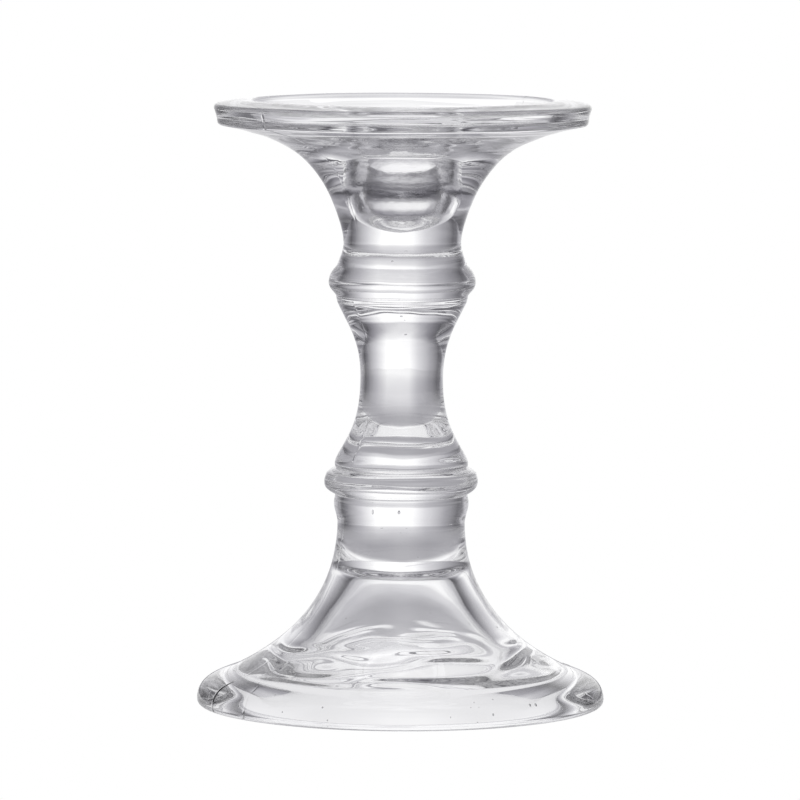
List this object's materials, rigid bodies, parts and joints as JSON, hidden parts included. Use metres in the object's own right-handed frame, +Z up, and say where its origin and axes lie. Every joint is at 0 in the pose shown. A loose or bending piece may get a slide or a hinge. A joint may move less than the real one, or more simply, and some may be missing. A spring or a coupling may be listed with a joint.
{
  "type": "candlestick",
  "caption": "Clear pressed-glass candlestick with a hollow flared foot, a knopped stem and a rimmed plate that has a taper socket sunk in its middle; holds a taper or a pillar candle.",
  "frame": {"origin": "centre of the foot's resting plane", "axes": "+Z up the candlestick's axis of symmetry; it is round, so +X and +Y are free"},
  "size_m": [0.1144, 0.1144, 0.17],
  "materials": {
    "clear_glass": "gloss"
  },
  "bodies": {
    "root": {"upper_pressing": "clear_glass", "joining_wafer": "clear_glass", "lower_pressing": "clear_glass"}
  },
  "joints": []
}
